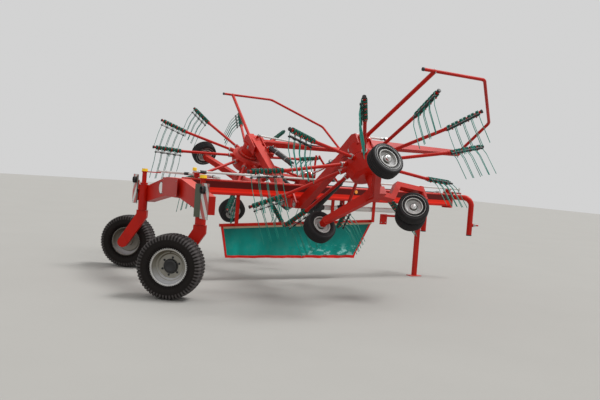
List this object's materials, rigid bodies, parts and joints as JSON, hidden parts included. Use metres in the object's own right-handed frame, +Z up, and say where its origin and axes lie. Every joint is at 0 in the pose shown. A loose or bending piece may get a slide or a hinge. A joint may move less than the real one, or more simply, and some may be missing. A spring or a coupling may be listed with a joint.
{
  "type": "twin rotor hay rake",
  "caption": "Trailed centre delivery hay rake with two folding tined rotors on lift booms, steered rear wheels, a swath curtain and a swivelling headstock.",
  "frame": {"origin": "middle of the footprint on the ground", "axes": "+X the machine's right, +Y its direction of travel, +Z up"},
  "size_m": [7.1008, 6.7982, 3.1907],
  "materials": {
    "red": "gloss",
    "pink": "gloss",
    "silver": "satin",
    "zinc": "satin",
    "chrome": "polished",
    "dark": "satin",
    "black": "matte",
    "tyre": "matte",
    "cloth": "woven",
    "tine_green": "satin",
    "white": "satin"
  },
  "bodies": {
    "frame": {"main_beam": "red", "rear_arch": "red", "rear_plates": "white", "warning_boards": "white", "rear_lamps": "black", "curtain": "cloth", "curtain_frame": "red", "gearbox": "dark", "pto_line": "dark"},
    "headstock": {"headstock": "red"},
    "stand": {"stand": "red"},
    "relay_lever": {"relay_lever": "red"},
    "idler_lever": {"idler_lever": "red"},
    "drag_link_rear": {"drag_link_rear": "zinc"},
    "drag_link_front": {"drag_link_front": "zinc"},
    "steer_leg_right": {"steer_leg_right": "red"},
    "wheel_right": {"tyre_right": "tyre", "rim_right": "silver"},
    "tie_rod_right": {"tie_rod_right": "zinc"},
    "steer_leg_left": {"steer_leg_left": "red"},
    "wheel_left": {"tyre_left": "tyre", "rim_left": "silver"},
    "tie_rod_left": {"tie_rod_left": "zinc"},
    "boom_right": {"boom_right": "red", "chassis_right": "red", "guard_right": "pink"},
    "rotor_right": {"drum_right": "red", "arms_right": "red", "tines_right": "tine_green"},
    "wheel_outer_right": {"wheel_outer_right": "tyre"},
    "wheel_inner_right": {"wheel_inner_right": "tyre"},
    "caster_fork_right": {"caster_fork_right": "red"},
    "caster_wheels_right": {"caster_wheels_right": "tyre"},
    "lift_barrel_right": {"lift_barrel_right": "dark"},
    "lift_rod_right": {"lift_rod_right": "chrome"},
    "shaft_inner_right": {"shaft_inner_right": "black"},
    "shaft_outer_right": {"shaft_outer_right": "black"},
    "boom_left": {"boom_left": "red", "chassis_left": "red", "guard_left": "pink"},
    "rotor_left": {"drum_left": "red", "arms_left": "red", "tines_left": "tine_green"},
    "wheel_outer_left": {"wheel_outer_left": "tyre"},
    "wheel_inner_left": {"wheel_inner_left": "tyre"},
    "caster_fork_left": {"caster_fork_left": "red"},
    "caster_wheels_left": {"caster_wheels_left": "tyre"},
    "lift_barrel_left": {"lift_barrel_left": "dark"},
    "lift_rod_left": {"lift_rod_left": "chrome"},
    "shaft_inner_left": {"shaft_inner_left": "black"},
    "shaft_outer_left": {"shaft_outer_left": "black"}
  },
  "joints": [
    {"name": "headstock_yaw", "type": "hinge", "parent": "frame", "child": "headstock", "pos_m": [-0.00683, 2.81149, 1.445], "axis": [0, 0, 1], "range_deg": [-97, 13]},
    {"name": "stand_swing", "type": "hinge", "parent": "frame", "child": "stand", "pos_m": [-0.20683, 2.27149, 1.29], "axis": [1, 0, 0], "range_deg": [-90, 0]},
    {"name": "relay_turn", "type": "hinge", "parent": "frame", "child": "relay_lever", "pos_m": [-0.00683, -2.18851, 1.6], "axis": [0, 0, 1], "range_deg": [-11.4, 84.4]},
    {"name": "idler_turn", "type": "hinge", "parent": "frame", "child": "idler_lever", "pos_m": [-0.00683, 0.03149, 1.6], "axis": [0, 0, 1], "range_deg": [-11.4, 84.4]},
    {"name": "steer_right", "type": "hinge", "parent": "frame", "child": "steer_leg_right", "pos_m": [1.16817, -2.58851, 1.2], "axis": [0, 0, 1], "range_deg": [-11.4, 84.4]},
    {"name": "wheel_turn_right", "type": "hinge", "parent": "steer_leg_right", "child": "wheel_right", "pos_m": [1.21446, -2.97482, 0.425], "axis": [0.8039, -0.5948, 0], "continuous": true},
    {"name": "tie_rod_pivot_right", "type": "hinge", "parent": "relay_lever", "child": "tie_rod_right", "pos_m": [0.17226, -2.04735, 1.605], "axis": [0, 0, 1], "range_deg": [-84.4, 11.4]},
    {"name": "steer_left", "type": "hinge", "parent": "frame", "child": "steer_leg_left", "pos_m": [-1.18183, -2.58851, 1.2], "axis": [0, 0, 1], "range_deg": [-11.4, 84.4]},
    {"name": "wheel_turn_left", "type": "hinge", "parent": "steer_leg_left", "child": "wheel_left", "pos_m": [-1.56479, -2.65718, 0.425], "axis": [0.8039, -0.5948, 0], "continuous": true},
    {"name": "tie_rod_pivot_left", "type": "hinge", "parent": "relay_lever", "child": "tie_rod_left", "pos_m": [0.0758, -1.97597, 1.605], "axis": [0, 0, 1], "range_deg": [-84.4, 11.4]},
    {"name": "drag_link_rear_pivot", "type": "hinge", "parent": "relay_lever", "child": "drag_link_rear", "pos_m": [0.11375, -2.27773, 1.643], "axis": [0, 0, 1], "range_deg": [-84.4, 11.4]},
    {"name": "drag_link_front_pivot", "type": "hinge", "parent": "idler_lever", "child": "drag_link_front", "pos_m": [-0.19172, 0.1683, 1.643], "axis": [0, 0, 1], "range_deg": [-84.4, 11.4]},
    {"name": "boom_lift_right", "type": "hinge", "parent": "frame", "child": "boom_right", "pos_m": [0.18317, -0.44251, 1.24], "axis": [0, -1, 0], "range_deg": [-37, 50]},
    {"name": "rotor_spin_right", "type": "hinge", "parent": "boom_right", "child": "rotor_right", "pos_m": [1.85325, -0.44251, 1.88325], "axis": [-0.5736, 0, 0.8192], "continuous": true},
    {"name": "chassis_wheel_outer_right", "type": "hinge", "parent": "boom_right", "child": "wheel_outer_right", "pos_m": [2.82484, -0.87251, 1.97759], "axis": [0.8192, 0, 0.5736], "continuous": true},
    {"name": "chassis_wheel_inner_right", "type": "hinge", "parent": "boom_right", "child": "wheel_inner_right", "pos_m": [1.43229, -0.87251, 1.00252], "axis": [0.8192, 0, 0.5736], "continuous": true},
    {"name": "caster_swivel_right", "type": "hinge", "parent": "boom_right", "child": "caster_fork_right", "pos_m": [1.79922, 0.65749, 1.57685], "axis": [-0.5736, 0, 0.8192], "range_deg": [0, 54]},
    {"name": "caster_wheels_turn_right", "type": "hinge", "parent": "caster_fork_right", "child": "caster_wheels_right", "pos_m": [1.85538, 0.43474, 1.29877], "axis": [0.7299, -0.454, 0.5111], "continuous": true},
    {"name": "lift_barrel_pivot_right", "type": "hinge", "parent": "boom_right", "child": "lift_barrel_right", "pos_m": [1.26115, -0.19751, 2.14131], "axis": [0, -1, 0], "range_deg": [-2.3, 3]},
    {"name": "lift_rod_slide_right", "type": "slide", "parent": "lift_barrel_right", "child": "lift_rod_right", "axis": [-0.9502, 0, -0.3118], "range_m": [-0.397, 0.295]},
    {"name": "shaft_swing_right", "type": "hinge", "parent": "frame", "child": "shaft_inner_right", "pos_m": [0.15317, -0.13251, 1.2], "axis": [0, -1, 0], "range_deg": [-36.1, 48.8]},
    {"name": "shaft_slide_right", "type": "slide", "parent": "shaft_inner_right", "child": "shaft_outer_right", "axis": [0.8607, -0.101, 0.499], "range_m": [-0.011, 0.014]},
    {"name": "boom_lift_left", "type": "hinge", "parent": "frame", "child": "boom_left", "pos_m": [-0.19683, -0.44251, 1.24], "axis": [0, 1, 0], "range_deg": [-37, 50]},
    {"name": "rotor_spin_left", "type": "hinge", "parent": "boom_left", "child": "rotor_left", "pos_m": [-1.86691, -0.44251, 1.88325], "axis": [-0.5736, 0, -0.8192], "continuous": true},
    {"name": "chassis_wheel_outer_left", "type": "hinge", "parent": "boom_left", "child": "wheel_outer_left", "pos_m": [-2.8385, -0.87251, 1.97759], "axis": [0.8192, 0, -0.5736], "continuous": true},
    {"name": "chassis_wheel_inner_left", "type": "hinge", "parent": "boom_left", "child": "wheel_inner_left", "pos_m": [-1.44595, -0.87251, 1.00252], "axis": [0.8192, 0, -0.5736], "continuous": true},
    {"name": "caster_swivel_left", "type": "hinge", "parent": "boom_left", "child": "caster_fork_left", "pos_m": [-1.81288, 0.65749, 1.57685], "axis": [-0.5736, 0, -0.8192], "range_deg": [0, 54]},
    {"name": "caster_wheels_turn_left", "type": "hinge", "parent": "caster_fork_left", "child": "caster_wheels_left", "pos_m": [-1.86904, 0.43474, 1.29877], "axis": [0.7299, 0.454, -0.5111], "continuous": true},
    {"name": "lift_barrel_pivot_left", "type": "hinge", "parent": "boom_left", "child": "lift_barrel_left", "pos_m": [-1.27481, -0.28751, 2.14131], "axis": [0, 1, 0], "range_deg": [-2.3, 3]},
    {"name": "lift_rod_slide_left", "type": "slide", "parent": "lift_barrel_left", "child": "lift_rod_left", "axis": [0.9502, 0, -0.3118], "range_m": [-0.397, 0.295]},
    {"name": "shaft_swing_left", "type": "hinge", "parent": "frame", "child": "shaft_inner_left", "pos_m": [-0.16683, -0.13251, 1.2], "axis": [0, 1, 0], "range_deg": [-36.1, 48.8]},
    {"name": "shaft_slide_left", "type": "slide", "parent": "shaft_inner_left", "child": "shaft_outer_left", "axis": [-0.8607, -0.101, 0.499], "range_m": [-0.011, 0.014]}
  ],
  "couplings": [
    {"joint": "relay_turn", "follows": "headstock_yaw", "ratio": -0.86905},
    {"joint": "idler_turn", "follows": "headstock_yaw", "ratio": -0.86905},
    {"joint": "steer_right", "follows": "headstock_yaw", "ratio": -0.86905},
    {"joint": "steer_left", "follows": "headstock_yaw", "ratio": -0.86905},
    {"joint": "tie_rod_pivot_right", "follows": "headstock_yaw", "ratio": 0.86905},
    {"joint": "tie_rod_pivot_left", "follows": "headstock_yaw", "ratio": 0.86905},
    {"joint": "drag_link_rear_pivot", "follows": "headstock_yaw", "ratio": 0.86905},
    {"joint": "drag_link_front_pivot", "follows": "headstock_yaw", "ratio": 0.86905},
    {"joint": "lift_barrel_pivot_right", "follows": "boom_lift_right", "ratio": 0.05769},
    {"joint": "lift_rod_slide_right", "follows": "boom_lift_right", "m_per_rad": -0.4522},
    {"joint": "shaft_swing_right", "follows": "boom_lift_right", "ratio": 0.97224},
    {"joint": "shaft_slide_right", "follows": "boom_lift_right", "m_per_rad": 0.0132},
    {"joint": "lift_barrel_pivot_left", "follows": "boom_lift_left", "ratio": 0.05769},
    {"joint": "lift_rod_slide_left", "follows": "boom_lift_left", "m_per_rad": -0.4522},
    {"joint": "shaft_swing_left", "follows": "boom_lift_left", "ratio": 0.97224},
    {"joint": "shaft_slide_left", "follows": "boom_lift_left", "m_per_rad": 0.0132}
  ]
}
